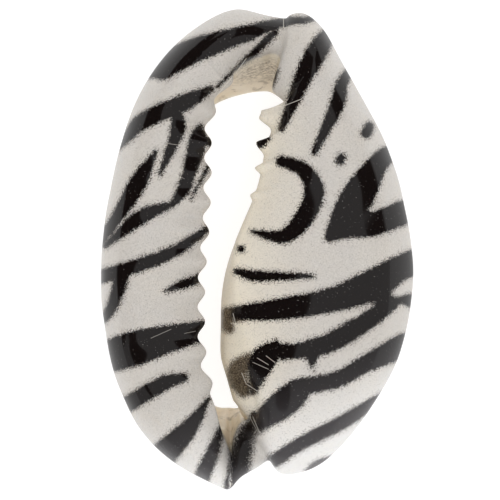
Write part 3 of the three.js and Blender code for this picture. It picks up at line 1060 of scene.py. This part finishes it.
# %% Black and the whole colour
# Painted light: the ink is painted paler towards the rear too.
ink_colour = mix_colour(tree, painted_light, INK, PAINTED_LIGHT_INK)
ink_colour = mix_colour(tree, past_lip, ink_colour, INK_PAST_LIP)
salt = smooth_step(tree, noise(tree, position, 16.0, 0.0, 0.5), 0.22, 0.16)
ink_colour = mix_colour(tree, value_math(tree, "MULTIPLY", salt, 0.22), ink_colour, SALT)
worn_speck = smooth_step(tree, noise(tree, position, 15.0, 2.0, 0.8), 0.3, 0.6)
worn_colour = mix_colour(tree, worn_speck, WORN_PALE, WORN_DARK)
colour = mix_colour(tree, worn_strength, white, worn_colour)
colour = mix_colour(tree, ink_strength, colour, ink_colour)
# Painted highlights: pale lines laid on the base where fine ridges and edges would catch the light.
lines = value_math(tree, "MULTIPLY", all_painted_highlights(tree, position), kept_number(tree, "on_base"))
colour = mix_colour(tree, lines, colour, PAINTED_HIGHLIGHT)
print(f"{len(tree.nodes)} nodes mix the colour")

# %% [markdown]
# ## Gloss
#
# Porcelain lets a little light in, so it has some subsurface scattering. All the shine comes from
# the clear coat. The sawn rim is bare chalk.

# %% Gloss and the sawn rim
surface = tree.nodes["Principled BSDF"]
tree.links.new(colour, surface.inputs["Base Color"])
for name, value in (
    ("Roughness", 0.45),
    ("Subsurface Weight", 0.25),
    ("Subsurface Radius", (1.0, 0.8, 0.6)),
    ("Subsurface Scale", 0.6 * MM),
    ("Specular IOR Level", 0.0),
    ("Coat Weight", 0.33),
    ("Coat IOR", 1.8),
    ("Coat Roughness", 0.1),
):
    surface.inputs[name].default_value = value

chalk = bpy.data.materials.new("sawn_rim")
chalk.use_nodes = True
chalk_surface = chalk.node_tree.nodes["Principled BSDF"]
chalk_surface.inputs["Base Color"].default_value = CHALK
chalk_surface.inputs["Roughness"].default_value = 0.8
mesh.materials.append(material)
mesh.materials.append(chalk)
print([m.name for m in mesh.materials])

# %% [markdown]
# ## The studio
#
# The shell lies on a white light table under a bright, even sky. Three soft lamps shape it without
# being mirrored in the gloss. What the gloss does mirror is a dark flag of four panels, which
# neither shades the shell nor darkens it: it only leaves dark and bright areas in the reflections.

# %% Table, tent and lights
def plain_card(name, corners, colour, glow):
    """A flat card through the given corners, four to each panel, with a matt colour and its own light."""
    card_mesh = bpy.data.meshes.new(name)
    panels = [tuple(range(k, k + 4)) for k in range(0, len(corners), 4)]
    card_mesh.from_pydata(corners, [], panels)
    card = bpy.data.objects.new(name, card_mesh)
    bpy.context.scene.collection.objects.link(card)
    plain = bpy.data.materials.new(name)
    plain.use_nodes = True
    shader = plain.node_tree.nodes["Principled BSDF"]
    shader.inputs["Base Color"].default_value = (colour, colour, colour, 1)
    shader.inputs["Roughness"].default_value = 0.9
    shader.inputs["Specular IOR Level"].default_value = 0.0
    shader.inputs["Emission Color"].default_value = (1, 1, 1, 1)
    shader.inputs["Emission Strength"].default_value = glow
    card_mesh.materials.append(plain)
    return card


def soft_box(name, place, size, power):
    """A square lamp aimed at the middle of the shell."""
    lamp = bpy.data.lights.new(name, "AREA")
    lamp.size = size
    lamp.energy = power
    box = bpy.data.objects.new(name, lamp)
    box.location = place
    box.rotation_euler = (Vector((0, 0, 0.004)) - Vector(place)).to_track_quat("-Z", "Y").to_euler()
    box.visible_glossy = False
    bpy.context.scene.collection.objects.link(box)
    return box


TABLE = 0.6
table_corners = [(-TABLE, -TABLE, 0), (TABLE, -TABLE, 0), (TABLE, TABLE, 0), (-TABLE, TABLE, 0)]
plain_card("light_table", table_corners, 0.4, 0.8)
# The flag's sides, in metres. Its panels are the top, the left, the right and the front.
LEFT, REAR, FRONT, TOP, BOTTOM = -0.45, -0.12, 0.5, 0.36, 0.03
flag_corners = [
    (LEFT, REAR, TOP), (-0.05, REAR, TOP), (0.3, FRONT, TOP), (LEFT, FRONT, TOP),
    (LEFT, REAR, BOTTOM), (LEFT, REAR, TOP), (LEFT, FRONT, TOP), (LEFT, FRONT, BOTTOM),
    (-LEFT, 0.04, BOTTOM), (-LEFT, 0.04, TOP), (-LEFT, FRONT, TOP), (-LEFT, FRONT, BOTTOM),
    (LEFT, FRONT, BOTTOM), (LEFT, FRONT, TOP), (0.0, FRONT, TOP), (0.0, FRONT, BOTTOM),
]
dark_flag = plain_card("dark_flag", flag_corners, 0.01, 0.0)
dark_flag.visible_diffuse = False
dark_flag.visible_shadow = False
soft_box("right_box", (0.26, 0.10, 0.26), 0.25, 0.14)
soft_box("left_box", (-0.28, -0.1, 0.26), 0.25, 0.12)
soft_box("top_box", (0.02, -0.02, 0.33), 0.12, 0.25)

world = bpy.data.worlds.new("tent")
world.use_nodes = True
world.node_tree.nodes["Background"].inputs["Color"].default_value = (1, 1, 1, 1)
world.node_tree.nodes["Background"].inputs["Strength"].default_value = 0.75
bpy.context.scene.world = world
print("three lamps, a light table and a dark flag")

# %% [markdown]
# ## The camera
#
# It looks straight down from far off through a long lens, so that the side walls hardly show. The
# frame's width is measured at the height of the widest line.

# %% Camera
LENS, SENSOR, FRAME_WIDTH = 400.0, 36.0, 22.87
lens_data = bpy.data.cameras.new("overhead")
lens_data.lens = LENS
lens_data.sensor_width = SENSOR
lens_data.clip_start, lens_data.clip_end = 0.01, 10
camera = bpy.data.objects.new("overhead", lens_data)
camera.location = (-0.33 * MM, -0.02 * MM, (MARGIN_HEIGHT + FRAME_WIDTH * LENS / SENSOR) * MM)
camera.rotation_euler = (0, 0, 0)
bpy.context.scene.collection.objects.link(camera)
bpy.context.scene.camera = camera
bpy.context.scene.view_settings.view_transform = "Standard"
print(f"camera {camera.location.z / MM:.0f} mm up")

# %% [markdown]
# ## The end
#

# %% The end
print("the build is done")
